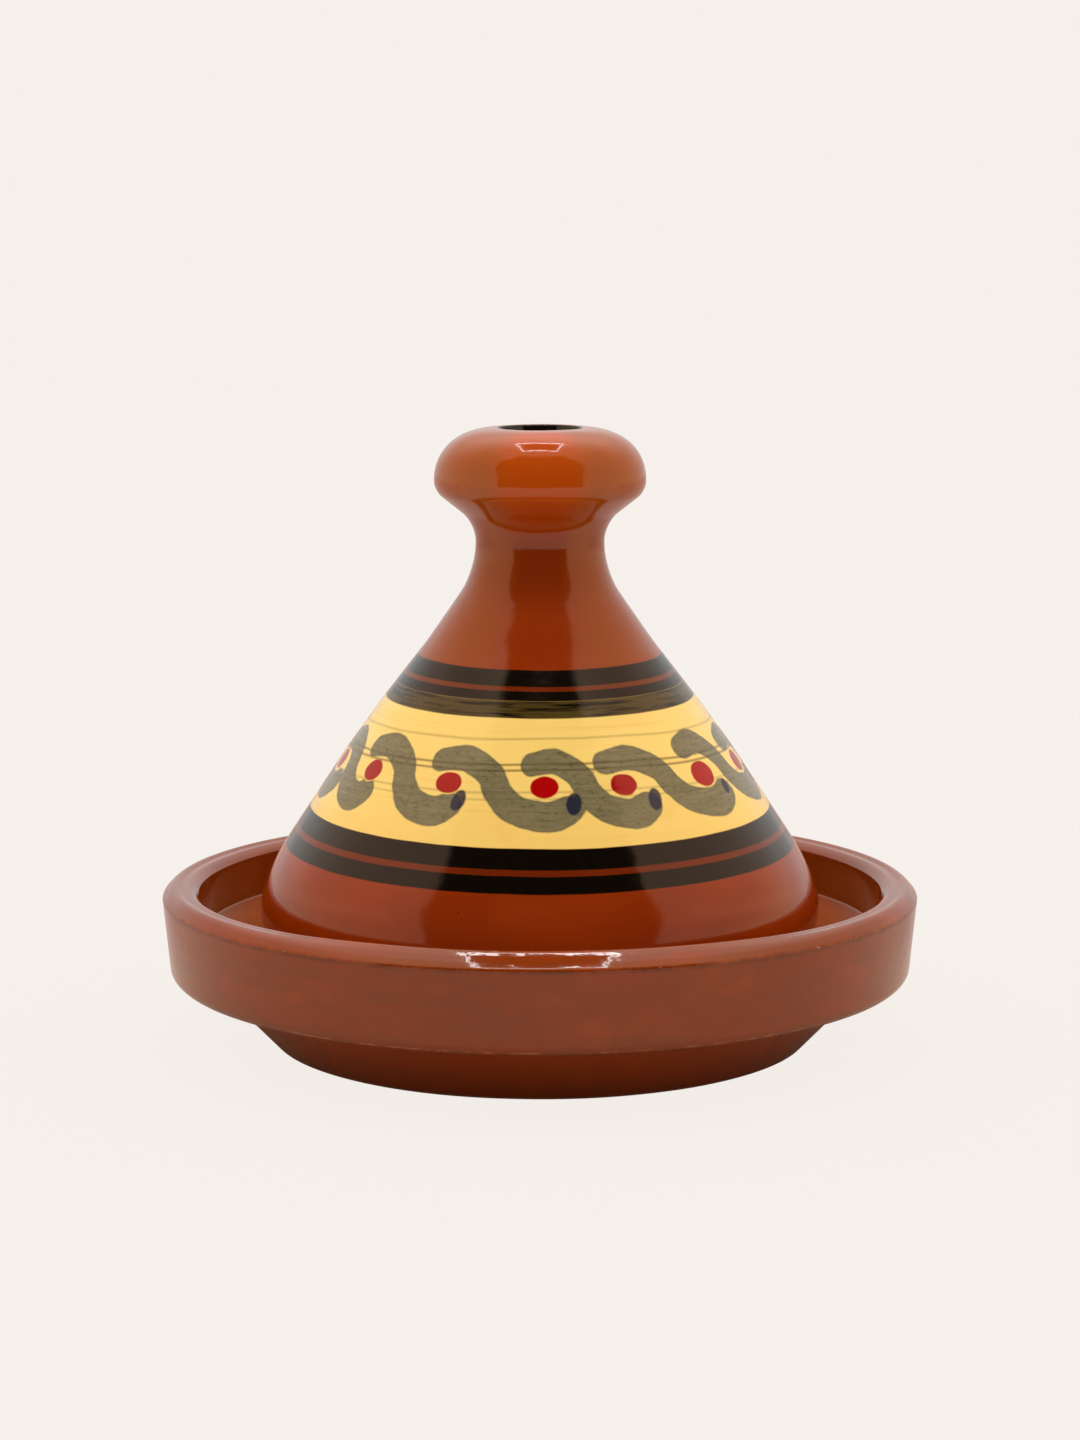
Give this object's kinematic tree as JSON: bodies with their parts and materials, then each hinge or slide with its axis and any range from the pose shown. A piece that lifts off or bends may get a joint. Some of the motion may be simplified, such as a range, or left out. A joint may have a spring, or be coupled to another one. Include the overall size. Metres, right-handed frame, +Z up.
{
  "type": "tagine",
  "caption": "Earthenware tagine: a low round dish with a heavy rim, and a tall painted cone lid with a hollow knob that rests on a ledge inside the dish and lifts off.",
  "frame": {"origin": "centre of the dish's base, on the surface that the tagine stands on", "axes": "+Z up along the turning axis; the picture looks along +Y from slightly above"},
  "size_m": [0.2708, 0.2708, 0.2183],
  "materials": {
    "dish_glaze": "satin amber glaze over red clay",
    "lid_glaze": "glossy clear glaze over red clay and painted bands"
  },
  "bodies": {
    "dish": {"dish": "dish_glaze"},
    "lid": {"lid": "lid_glaze"}
  },
  "joints": [
    {"name": "lid_lift", "type": "slide", "parent": "dish", "child": "lid", "axis": [0, 0, 1], "range_m": [0, 0.15]}
  ]
}
